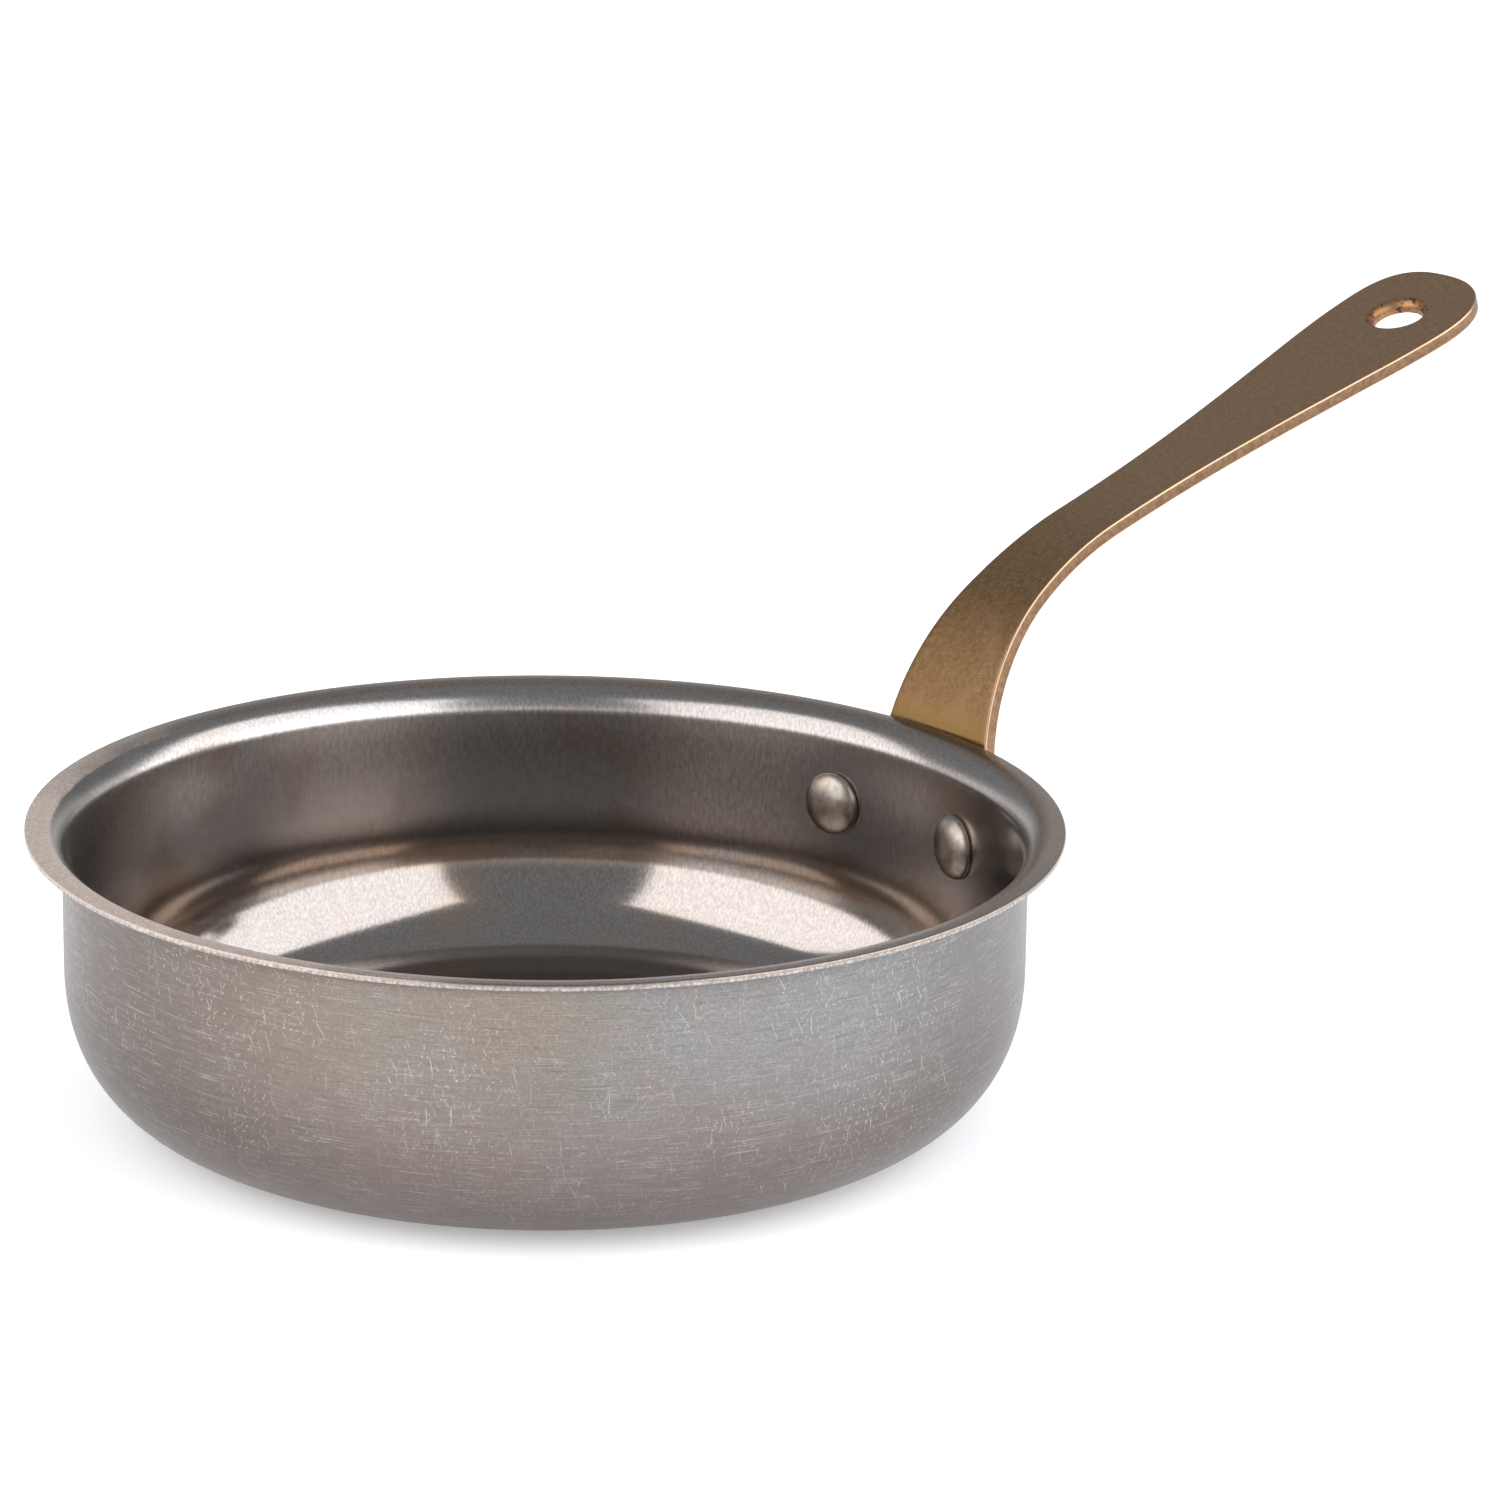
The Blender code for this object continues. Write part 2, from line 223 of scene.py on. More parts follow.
class Signal:
    """A socket of a material. Sums, products and the like of signals and numbers add Math nodes."""

    def __init__(self, tree, socket=None):
        self.tree = tree
        self.socket = socket

    def add(self, kind, settings, sockets, output=0):
        """Adds a node, sets its settings, then gives its sockets numbers or signals."""
        node = self.tree.nodes.new(kind)
        for name, value in settings.items():
            if name == "stops":
                while len(node.color_ramp.elements) < len(value):
                    node.color_ramp.elements.new(1.0)
                for element, (position, colour) in zip(node.color_ramp.elements, value):
                    element.position = position
                    element.color = (*colour, 1.0)
            else:
                setattr(node, name, value)
        for name, value in sockets.items():
            if isinstance(value, Signal):
                self.tree.links.new(value.socket, node.inputs[name])
            else:
                node.inputs[name].default_value = value
        if isinstance(output, tuple):
            return [Signal(self.tree, node.outputs[each]) for each in output]
        return Signal(self.tree, node.outputs[output])

    def maths(self, operation, *values):
        """A Math node on these values."""
        return self.add("ShaderNodeMath", {"operation": operation}, dict(enumerate(values)))

    def __add__(self, other):
        return self.maths("ADD", self, other)

    def __radd__(self, other):
        return self.maths("ADD", other, self)

    def __sub__(self, other):
        return self.maths("SUBTRACT", self, other)

    def __rsub__(self, other):
        return self.maths("SUBTRACT", other, self)

    def __mul__(self, other):
        return self.maths("MULTIPLY", self, other)

    def __rmul__(self, other):
        return self.maths("MULTIPLY", other, self)

    def __truediv__(self, other):
        return self.maths("DIVIDE", self, other)

    def __pow__(self, other):
        return self.maths("POWER", self, other)

    def ramp(self, low, high):
        """Goes smoothly from 0 at low to 1 at high."""
        return self.add(
            "ShaderNodeMapRange",
            {"interpolation_type": "SMOOTHSTEP", "clamp": True},
            {0: self, 1: low, 2: high},
        )

    def mix(self, first, second):
        """The first colour where this signal is 0, the second where it is 1."""
        colours = [
            part if isinstance(part, Signal) else (*part, 1.0) for part in (first, second)
        ]
        return self.add(
            "ShaderNodeMix",
            {"data_type": "RGBA", "clamp_factor": True},
            {0: self, 6: colours[0], 7: colours[1]},
            output=2,
        )

    def parts(self):
        """The three numbers of a vector."""
        return self.add("ShaderNodeSeparateXYZ", {}, {0: self}, output=(0, 1, 2))

    def vector(self, x, y, z):
        """A vector of three numbers or signals."""
        return self.add("ShaderNodeCombineXYZ", {}, {0: x, 1: y, 2: z})

    def bump(self, depth, height):
        """The normal of a surface with this height on it, depth being (strength, height)."""
        return self.add(
            "ShaderNodeBump", {}, {"Strength": depth[0], "Distance": depth[1], "Height": height}
        )

    def noise(self, scale, detail=2.0, roughness=0.5):
        """A cloudy pattern from 0 to 1 at this place."""
        return self.add(
            "ShaderNodeTexNoise",
            {},
            {"Vector": self, "Scale": scale, "Detail": detail, "Roughness": roughness},
        )


def new_metal(name):
    """A bare material: its shader node, and a signal to start from."""
    material = bpy.data.materials.new(name)
    material.use_nodes = True
    shader = material.node_tree.nodes["Principled BSDF"]
    shader.inputs["Metallic"].default_value = 1.0
    return material, shader, Signal(material.node_tree)


def feed(shader, **signals):
    """Links each signal to the shader's socket of that name, with _ for a space."""
    for name, signal in signals.items():
        socket = shader.inputs[name.replace("_", " ")]
        signal.tree.links.new(signal.socket, socket)


NICK_BEND = 0.4  # the spread of the bends: off goes as this times run squared over the length
NICK_CORE = 0.35  # bare within this share of its width, and then fading
NICK_TAPER = (0.3, 0.5)  # from its middle, it fades out between these shares of its length
NICK_FAINTEST = 0.35  # the least that a nick shows, with 1 the most


def nicks(u, v, cell, length, width, lean, spread, share, start):
    """Short curved nicks in the metal, one in some cells of a loose pattern on the distances u and
    v. In a cell, run and off are measured along and square to a direction that leans at random. The
    nick is where off, less a bend that goes as run squared, is small, and run is short."""
    across, down = u / cell + start, v / cell
    cells = u.vector(across, down, 0.0)
    middle, chance = cells.add(
        "ShaderNodeTexVoronoi",
        {"voronoi_dimensions": "2D"},
        {"Vector": cells, "Scale": 1.0},
        ("Position", "Color"),
    )
    middle_across, middle_down = middle.parts()[:2]
    first, second, third = chance.parts()
    dx = (across - middle_across) * cell
    dy = (down - middle_down) * cell
    angle = lean - spread + 2 * spread * first
    cosine, sine = u.maths("COSINE", angle), u.maths("SINE", angle)
    run = dx * cosine + dy * sine
    bend = (third - 0.5) * NICK_BEND / length
    off = dy * cosine - dx * sine - bend * run * run
    near = 1 - u.maths("ABSOLUTE", off).ramp(width * NICK_CORE, width)
    short = 1 - u.maths("ABSOLUTE", run).ramp(length * NICK_TAPER[0], length * NICK_TAPER[1])
    kept = u.maths("LESS_THAN", second, share)
    return near * short * kept * (NICK_FAINTEST + (1 - NICK_FAINTEST) * third)


# the steel's colours outside: its drift round the wall and down it, and then the marks on it
WARM_PEWTER = (0.222, 0.188, 0.169)
COOL_PEWTER = (0.252, 0.250, 0.251)
TAN = (0.272, 0.219, 0.172)
GREENISH = (0.225, 0.225, 0.192)
PURPLE_BROWN = (0.190, 0.154, 0.144)
# painted shade, darkening the outside towards two sides of the wall
PAINTED_SIDE_SHADE = (0.110, 0.092, 0.085)
DARK_DASH = (0.120, 0.103, 0.095)
LIGHT_LINE = (0.40, 0.368, 0.345)
LIGHT_DASH = (0.42, 0.390, 0.365)
BRIGHT_NICK = (0.70, 0.66, 0.62)
DARK_GRAIN = (0.150, 0.131, 0.121)

# inside, and on the lip: a pair is the darkest and lightest of a fine mottle
WALL_SHADED = ((0.290, 0.262, 0.244), (0.380, 0.346, 0.325))
# painted reflection: the inner wall's lighter colour on two sides
WALL_PAINTED_LIGHT = ((0.430, 0.400, 0.380), (0.560, 0.524, 0.500))
# painted highlight at the foot of the inner wall
PAINTED_FOOT_HIGHLIGHT = (0.72, 0.690, 0.670)
FLOOR_SATIN = ((0.290, 0.255, 0.232), (0.390, 0.348, 0.318))
COPPER_BLOOM = (0.400, 0.295, 0.215)
COOL_BLOOM = (0.300, 0.300, 0.295)
# painted reflection: a coppery ring round the corner inside
PAINTED_COPPER_REFLECTION = (0.430, 0.270, 0.150)
LIP_LIGHT = ((0.37, 0.290, 0.240), (0.54, 0.435, 0.375))
LIP_SPECKLE = (0.72, 0.64, 0.58)
LIP_DARK = ((0.280, 0.225, 0.187), (0.390, 0.322, 0.272))
# painted reflection: a dark ring in the lip's roll
ROLL_PAINTED_DARK_REFLECTION = (0.150, 0.128, 0.115)
CUT_EDGE = ((0.28, 0.25, 0.23), (0.60, 0.56, 0.52))

# directions (x, y) round the pan in which the look changes
LEFT_SIDE = (-0.786, 0.618)
WARM_SIDE = (-0.97, -0.25)
COOL_SIDE = (0.0, -1.0)
HANDLE_FAR_SIDE = (-0.966, 0.26)

STEEL_BUMP = (0.35, 0.00004)  # strength, and height in metres


def aged_steel():
    """The pan's metal: brushed round the outside, satin inside, blackening left in the marks."""
    material, shader, bench = new_metal("aged_steel")
    place = bench.add("ShaderNodeTexCoord", {}, {}, output="Object")
    x, y, z = place.parts()
    from_rim = bench.add("ShaderNodeAttribute", {"attribute_name": "from_rim"}, {}, output="Fac")
    around = WALL_RADIUS * bench.maths("ARCTAN2", -1 * y, -1 * x)
    inner = from_rim.ramp(0.0, 0.0004)

    def towards(side):
        """How far a place lies towards a side: 1 at the wall there, -1 at the wall opposite."""
        return (x * side[0] + y * side[1]) / WALL_RADIUS

    def streaks(along, across, shift_x=0.0, shift_y=0.0, detail=2.0, roughness=0.6):
        """Noise drawn out round the pan: coarse along x and y, fine along the section."""
        stretched = bench.vector(x * along + shift_x, y * along + shift_y, from_rim * across)
        return stretched.noise(1.0, detail, roughness)

    # long brush lines and shorter dashes, all the way round
    brushed = streaks(90, 4200, detail=3.0, roughness=0.65)
    fine_lines = streaks(130, 7600, shift_x=5, detail=1.0, roughness=0.5)
    dashes = streaks(260, 6400, shift_x=7)
    patchy = place.noise(150.0).ramp(0.36, 0.60)
    light_dashes = dashes.ramp(0.57, 0.70) * patchy
    light_lines = fine_lines.ramp(0.60, 0.74)
    dark_dashes = streaks(160, 5200, shift_y=3).ramp(0.55, 0.72)
    grain = place.noise(2600.0, 2.0, 0.6)

    # nicks from handling, fewer where the wall turns under
    flank = 1 - (-1 * from_rim).ramp(0.034, 0.060)
    short_nicks = nicks(around, from_rim, 0.0014, 0.0013, 0.00010, 1.45, 0.75, 0.50, 0.0)
    long_nicks = nicks(around, from_rim, 0.0038, 0.0034, 0.00010, 1.80, 0.35, 0.38, 31.0)
    specks = nicks(around, from_rim, 0.0011, 0.0005, 0.00014, 0.8, 1.5, 0.36, 67.0)
    worn = place.noise(45.0, 3.0, 0.6).ramp(0.36, 0.64)
    nick_marks = bench.maths(
        "MAXIMUM", short_nicks * (0.10 + 0.50 * worn), long_nicks * (0.20 + 0.55 * worn)
    )
    marks = bench.maths("MAXIMUM", nick_marks, specks * (0.20 + 0.45 * worn))

    # the outside's colour drifts from warm to cool round the wall, and to a purple brown below
    drift = place.noise(26.0, 3.0, 0.55)
    cool = (towards(COOL_SIDE) + 1.1 * (drift - 0.5)).ramp(0.45, 1.0)
    warm = (towards(WARM_SIDE) + 1.6 * (place.noise(34.0, 3.0, 0.6) - 0.5)).ramp(0.50, 1.10)
    pale_green = place.noise(52.0, 2.0, 0.5).ramp(0.56, 0.68)
    low = (-1 * from_rim).ramp(0.012, 0.040)
    left = towards(LEFT_SIDE)
    # painted shade: the outside is darkened in two bands, one towards each side of the wall
    painted_side_shade = 0.75 * left.ramp(0.25, 1.00) + 0.60 * (-1 * left).ramp(0.58, 0.98)
    colour = cool.mix(WARM_PEWTER, COOL_PEWTER)
    colour = (0.8 * warm).mix(colour, TAN)
    colour = (0.5 * pale_green).mix(colour, GREENISH)
    colour = (0.85 * low).mix(colour, PURPLE_BROWN)
    colour = painted_side_shade.mix(colour, PAINTED_SIDE_SHADE)
    colour = (0.55 * dark_dashes).mix(colour, DARK_DASH)
    colour = (0.60 * light_lines).mix(colour, LIGHT_LINE)
    colour = (0.60 * light_dashes).mix(colour, LIGHT_DASH)
    colour = (0.9 * marks * flank).mix(colour, BRIGHT_NICK)
    outside = (0.40 * grain.ramp(0.35, 0.65)).mix(colour, DARK_GRAIN)

    # inside it is satin: a wall with a painted reflection that lightens it on two sides, then the
    # corner, then the floor
    orange_peel = bench.vector(x * 2400, y * 2400, from_rim * 900).noise(1.0, 3.0, 0.6)
    peel = orange_peel.ramp(0.30, 0.70)
    wall = from_rim.ramp(0.0066, 0.0090)
    corner = from_rim.ramp(0.0250, 0.0325)
    middle = from_rim.ramp(0.055, 0.064)
    rivet_side = (-1 * left).ramp(0.74, 0.97)
    # painted reflection: the wall is lighter on the left and by the rivets
    painted_wall_light = (left.ramp(-0.32, 0.12) + rivet_side) * (0.12 + 0.88 * wall)
    # painted highlight: a bright patch at the foot of the wall on one side
    painted_foot_highlight_mask = from_rim.ramp(0.015, 0.024) * left.ramp(-0.45, 0.10)
    inside = painted_wall_light.mix(peel.mix(*WALL_SHADED), peel.mix(*WALL_PAINTED_LIGHT))
    inside = (0.55 * painted_foot_highlight_mask).mix(inside, PAINTED_FOOT_HIGHLIGHT)
    inside = corner.mix(inside, peel.mix(*FLOOR_SATIN))

    # a coppery and a cool bloom lie on it in places, and a painted coppery reflection lies in a
    # ring round the corner
    bloom = place.noise(38.0, 3.0, 0.55).ramp(0.52, 0.66)
    cool_bloom = place.noise(31.0, 3.0, 0.55).ramp(0.55, 0.72)
    ring_height = z + 0.003 * (place.noise(60.0) - 0.5)
    painted_copper_reflection = ring_height.ramp(0.0135, 0.0165) * (1 - ring_height.ramp(0.0185, 0.0225))
    painted_copper_reflection = painted_copper_reflection * place.noise(44.0, 2.0, 0.5).ramp(0.34, 0.52)
    inside = (0.50 * bloom).mix(inside, COPPER_BLOOM)
    inside = (0.45 * cool_bloom).mix(inside, COOL_BLOOM)
    inside = (0.28 * painted_copper_reflection).mix(inside, PAINTED_COPPER_REFLECTION)

    # the lip is lighter and duller on the side away from the handle, up to where it rolls down; on
    # that side a dark ring of painted reflection lies in the roll
    lip_wander = from_rim + 0.0006 * (place.noise(420.0, 3.0, 0.6) - 0.5)
    lip = 1 - lip_wander.ramp(0.0044, 0.0050)
    # painted reflection: a dark ring in the roll, on the side away from the handle
    painted_roll_reflection = lip_wander.ramp(0.0046, 0.0052) * (1 - wall)
    away_from_handle = towards(HANDLE_FAR_SIDE) + 0.5 * (place.noise(70.0, 3.0, 0.6) - 0.5)
    away_from_handle = away_from_handle.ramp(0.42, 1.02)
    lip_grain = place.noise(1900.0, 3.0, 0.7)
    lip_mottle = lip_grain.ramp(0.35, 0.68)
    speckle = place.noise(4200.0, 1.0, 0.5).ramp(0.60, 0.70)
    lip_light = (0.6 * speckle).mix(lip_mottle.mix(*LIP_LIGHT), LIP_SPECKLE)
    inside = (0.7 * painted_roll_reflection * away_from_handle).mix(inside, ROLL_PAINTED_DARK_REFLECTION)
    inside = lip.mix(inside, away_from_handle.mix(lip_mottle.mix(*LIP_DARK), lip_light))
    cut_edge = 1 - bench.maths("ABSOLUTE", from_rim + 0.00004).ramp(0.00026, 0.00042)
    colour = inner.mix(outside, inside)
    colour = (0.75 * cut_edge).mix(colour, lip_grain.ramp(0.40, 0.62).mix(*CUT_EDGE))

    # the inside is smoother than the brushed outside, smoothest in the corner
    inner_rough = 0.23 + wall * (0.02 - 0.05 * rivet_side) * (1 - corner) - 0.11 * corner
    inner_rough = inner_rough + 0.07 * middle + 0.04 * (orange_peel - 0.5)
    inner_rough = inner_rough + lip * (0.05 + 0.17 * away_from_handle)
    outer_rough = 0.36 + 0.12 * (brushed - 0.5) - 0.08 * marks
    rough = outer_rough + inner * (inner_rough - outer_rough)
    relief = 0.7 * brushed + 0.5 * dashes + 0.4 * marks
    bump = bench.bump(STEEL_BUMP, (1 - inner) * relief + inner * 0.25 * orange_peel)
    dusty = bench.maths("MAXIMUM", lip * away_from_handle * inner, 0.3 * cut_edge)
    feed(shader, Base_Color=colour, Roughness=rough, Metallic=1 - 0.60 * dusty, Normal=bump)
    return material


pan = turned_piece("pan", pan_section(), PAN_TURNS)
pan.data.materials.append(aged_steel())
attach(pan, "root")
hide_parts("pan_body")


# ---------------------------------------------------------------- the handle
# A flat bronze bar, cut to a waisted outline with a leaf end, its edges eased, bored for a hook,
# and bent up and away from the rim. Its foot is a plate that follows the wall under the lip.

BAR_THICKNESS = 0.0024
RIM_CLEARANCE = 0.0010
RIM_SLOPE = math.radians(76.7)
FIRST_BEND = (0.037, math.radians(37.5))  # radius, and the slope at its end
SECOND_BEND = (0.065, math.radians(19.0))
BAR_REACH = 0.1378
TIP_LENGTH = 0.0158
TIP_POWER = 2.5
WIDTH_STATIONS = np.array([0, 0.014, 0.028, 0.046, 0.064, 0.082, 0.100, 0.112, 0.122])
HALF_WIDTHS = np.array(
    [0.0116, 0.0094, 0.00755, 0.00665, 0.0070, 0.0085, 0.01075, 0.0123, 0.0130]
)
WAIST_RATE = (HALF_WIDTHS[1] - HALF_WIDTHS[0]) / (WIDTH_STATIONS[1] - WIDTH_STATIONS[0])
LEAF_SKEW = 0.0022  # the tip was cut this far to one side
SKEW_START = 0.120
HANGING_RADIUS = 0.0043
HANGING_PLACE = 0.1231
HANGING_EASE = (0.0017, 0.0004)  # the hole's mouth is well rounded above, hardly below
MOUTH_SHARE = 0.75  # how much of that mouth has the hole's colour
BAR_EASE = (0.00035, 0.00035)  # the bar's edges, above and below
SIDE_SHARE = 0.9  # the side's colour starts this far down an eased edge
FOOT_GAP = 0.0003
FOOT_CORNER = 0.0070
STEP_RADIUS = 0.007
STEP_TOP = 0.0014
RIVET_DROP = 0.0150
RIVET_ANGLE = math.radians(11.8)
FOOT_RADIUS = WALL_RADIUS + FOOT_GAP
FOOT_STEPS = 24  # points along each stretch of the outline
NECK_STEPS = 20
BAR_STEPS = 150
TIP_STEPS = 60
EASE_STEPS = 6  # points down each eased edge, of the bar and of the hole
BORE_EASE_STEPS = 10
ACROSS_STEPS = 28
RING_STEPS = 14
LEAF_START = 0.1105  # from here on the faces are laid round the hole


def bar_stretches():
    """The bar's inner face, from the foot up, as rows of (length, start slope, end slope). Under
    the lip it steps out on two equal radii: with d the way out, sin(lean) = (1 + sin(rim slope)
    - d / radius) / 2."""
    upright = math.pi / 2
    step_out = RIM_RADIUS + RIM_CLEARANCE - STEP_TOP / math.tan(RIM_SLOPE) - FOOT_RADIUS
    lean = math.asin((1 + math.sin(RIM_SLOPE) - step_out / STEP_RADIUS) / 2)
    step_rise = STEP_RADIUS * (2 * math.cos(lean) - math.cos(RIM_SLOPE))
    rows = [
        (RIVET_DROP + FOOT_CORNER - STEP_TOP - step_rise, upright, upright),
        (STEP_RADIUS * (upright - lean), upright, lean),
        (STEP_RADIUS * (RIM_SLOPE - lean), lean, RIM_SLOPE),
        (STEP_TOP / math.sin(RIM_SLOPE), RIM_SLOPE, RIM_SLOPE),
    ]
    foot_length = sum(row[0] for row in rows)
    slope = RIM_SLOPE
    for radius, end in (FIRST_BEND, SECOND_BEND):
        rows.append((radius * (slope - end), slope, end))
        slope = end
    rows.append((foot_length + BAR_REACH - sum(row[0] for row in rows), slope, slope))
    return rows, foot_length


STRETCHES, FOOT_LENGTH = bar_stretches()


def bent(blank):
    """Bends the flat blank. A point is (distance, across, depth). Its distance is walked along
    straight stretches (cos, sin) and arcs (change of sin and of -cos, over the curvature), which
    gives radius, height and slope. Depth goes square to that. Over the foot, across is wrapped
    round the wall. Before the bending, the tip is drawn to one side, as distance squared."""
    distance, across, depth = blank[..., 0], blank[..., 1], blank[..., 2]
    radius = np.full_like(distance, FOOT_RADIUS)
    height = np.full_like(distance, PAN_HEIGHT - RIVET_DROP - FOOT_CORNER)
    slope = np.full_like(distance, math.pi / 2)
    skew = np.clip((distance - SKEW_START) / (BAR_REACH - SKEW_START), 0, 1)
    across = across + LEAF_SKEW * skew * skew
    walked = -FOOT_LENGTH
    for length, start, end in STRETCHES:
        part = np.clip(distance - walked, 0, length)
        slope_here = start + (end - start) * part / length
        if start == end:
            radius += part * math.cos(start)
            height += part * math.sin(start)
        else:
            bend = length / (end - start)
            radius += bend * (np.sin(slope_here) - math.sin(start))
            height += bend * (math.cos(start) - np.cos(slope_here))
        slope = np.where(distance > walked, slope_here, slope)
        walked += length
    wrap = np.clip(-distance / (FOOT_LENGTH - 2 * FOOT_CORNER), 0, 1)
    wrap = wrap * wrap * (3 - 2 * wrap)
    turn = np.arcsin(wrap * across / FOOT_RADIUS)
    sag = wrap * (FOOT_RADIUS - np.sqrt(FOOT_RADIUS**2 - across**2))
    return np.stack(
        [
            radius - sag + depth * np.sin(slope) * np.cos(turn),
            across + depth * np.sin(slope) * np.sin(turn),
            height - depth * np.cos(slope),
        ],
        axis=-1,
    )


def hermite(t, start, end, start_rate, end_rate):
    """A cubic from start to end with the given rates of change, t going from 0 to 1."""
    return (
        start * (1 + 2 * t) * (1 - t) ** 2
        + start_rate * t * (1 - t) ** 2
        + end * t * t * (3 - 2 * t)
        + end_rate * t * t * (t - 1)
    )


def half_width(distance):
    """Half the bar's width: cubics through the stations, level at the last one."""
    rates = np.empty(len(HALF_WIDTHS))
    rates[1:-1] = HALF_WIDTHS[2:] - HALF_WIDTHS[:-2]
    rates[1:-1] /= WIDTH_STATIONS[2:] - WIDTH_STATIONS[:-2]
    rates[0] = WAIST_RATE
    rates[-1] = 0
    i = np.clip(np.searchsorted(WIDTH_STATIONS, distance, side="right") - 1, 0, len(rates) - 2)
    span = WIDTH_STATIONS[i + 1] - WIDTH_STATIONS[i]
    t = np.clip((distance - WIDTH_STATIONS[i]) / span, 0, 1)
    return hermite(t, HALF_WIDTHS[i], HALF_WIDTHS[i + 1], rates[i] * span, rates[i + 1] * span)


def bar_side():
    """One side of the blank, from the foot's bottom edge to the tip, as (distance, across) points:
    a round corner about the rivet, a cubic shoulder, the widths above, and a quarter
    superellipse."""
    rivet = (FOOT_CORNER - FOOT_LENGTH, FOOT_RADIUS * math.sin(RIVET_ANGLE))
    corner = arc_points(rivet, FOOT_CORNER, 180, 45, FOOT_STEPS)
    from_waist, shoulder = corner[-1]
    t = np.linspace(0, 1, NECK_STEPS)[1:-1]
    neck_width = hermite(t, shoulder, HALF_WIDTHS[0], from_waist, WAIST_RATE * -from_waist)
    neck = np.stack([from_waist * (1 - t), neck_width], axis=1)
    tip_start = BAR_REACH - TIP_LENGTH
    distance = np.linspace(0, tip_start, BAR_STEPS)[:-1]
    bar = np.stack([distance, half_width(distance)], axis=1)
    angle = np.linspace(0, math.pi / 2, TIP_STEPS)
    power = 2 / TIP_POWER
    distance = tip_start + TIP_LENGTH * np.sin(angle) ** power
    tip_width = half_width(distance) * np.clip(np.cos(angle), 0, 1) ** power
    tip = np.stack([distance, tip_width], axis=1)
    tip[-1, 1] = 0
    return np.concatenate([corner, neck, bar, tip])


def outward(outline):
    """The outward direction at each point of a closed outline: the chord between its neighbours,
    turned by a quarter."""
    chord = np.roll(outline, -1, axis=0) - np.roll(outline, 1, axis=0)
    normal = np.stack([-chord[:, 1], chord[:, 0]], axis=1)
    normal /= np.hypot(normal[:, 0], normal[:, 1])[:, None]
    return normal


def eased_edge(outline, normal, ease, count):
    """Carries the rounded edge of the bar round an outline: inset and depth go as a quarter circle
    on the top, straight down, and a quarter circle below. The two circles have their own radii."""
    angle = np.radians(np.linspace(0, 90, count))
    above, below = ease
    inset = np.concatenate([above - above * np.sin(angle), (below - below * np.sin(angle))[::-1]])
    depth = np.concatenate(
        [above - above * np.cos(angle), (BAR_THICKNESS - below + below * np.cos(angle))[::-1]]
    )
    flat = outline[None, :, :] - inset[:, None, None] * normal[None, :, :]
    depth = np.broadcast_to(depth[:, None, None], (*flat.shape[:2], 1))
    return np.concatenate([flat, depth], axis=2)


def kept_values(blank, outline, hole):
    """Values kept at the points: how far along the bar each lies, how far in from the nearest point
    of the outline, 1 inside the hole with most of its rounded mouth, and 1 on the side faces, from
    nine tenths of the way down one eased edge to the same on the other."""
    flat, edge = blank[:, :2].astype(np.float32), outline.astype(np.float32)
    inset = np.hypot(flat[:, :1] - edge[:, 0], flat[:, 1:] - edge[:, 1]).min(axis=1)
    in_bore = np.hypot(*(flat - hole).T) < HANGING_RADIUS + MOUTH_SHARE * HANGING_EASE[0]
    depth, highest = blank[:, 2], SIDE_SHARE * BAR_EASE[0]
    lowest = BAR_THICKNESS - SIDE_SHARE * BAR_EASE[1]
    on_side = (depth > highest) & (depth < lowest) & ~in_bore
    return {"along": blank[:, 0], "inset": inset, "bore": 1.0 * in_bore, "side": 1.0 * on_side}


def handle_mesh():
    """The bar's surface: an eased edge all round, an eased edge inside the hole, and on each face
    rows across the bar up to the leaf, then rings that grow from the hole to the leaf's outline."""
    side = bar_side()
    mirrored = side * (1, -1)
    foot_edge = straight_points(mirrored[0], side[0], ACROSS_STEPS - 1)
    outline = np.concatenate([side, mirrored[-2::-1], foot_edge])
    normal = outward(outline)
    edge = eased_edge(outline, normal, BAR_EASE, EASE_STEPS)
    count = len(side)
    last_row = int(np.searchsorted(side[:, 0], LEAF_START))
    share = np.linspace(0, 1, ACROSS_STEPS + 1)[None, :, None]
    hole = np.array([HANGING_PLACE, 0.0])
    parts = [(edge, True)]
    for top in (True, False):
        inset = edge[0 if top else -1]
        left = inset[: last_row + 1]
        right = inset[count - 1 : 2 * count - 1][::-1][: last_row + 1]
        rows = left[:, None, :] * (1 - share) + right[:, None, :] * share
        parts.append((rows, False))
        loop = np.concatenate([inset[last_row : 2 * count - 1 - last_row], rows[-1, -2:0:-1]])
        away = loop[:, :2] - hole
        direction = away / np.hypot(away[:, 0], away[:, 1])[:, None]
        ring = hole + direction * (HANGING_RADIUS + HANGING_EASE[0 if top else 1])
        ring = np.concatenate([ring, loop[:, 2:]], axis=1)
        grow = np.linspace(0, 1, RING_STEPS)[:, None, None]
        parts.append((ring * (1 - grow) + loop * grow, True))
        if top:
            bore = hole + direction * HANGING_RADIUS
            parts.append((eased_edge(bore, -direction, HANGING_EASE, BORE_EASE_STEPS), True))
    points, faces, start = [], [], 0
    for grid, wraps in parts:
        points.append(grid.reshape(-1, 3))
        faces.append(grid_faces(grid.shape[0], grid.shape[1], wraps, start))
        start += len(points[-1])
    blank = np.concatenate(points)
    return bent(blank), faces, kept_values(blank, outline, hole)


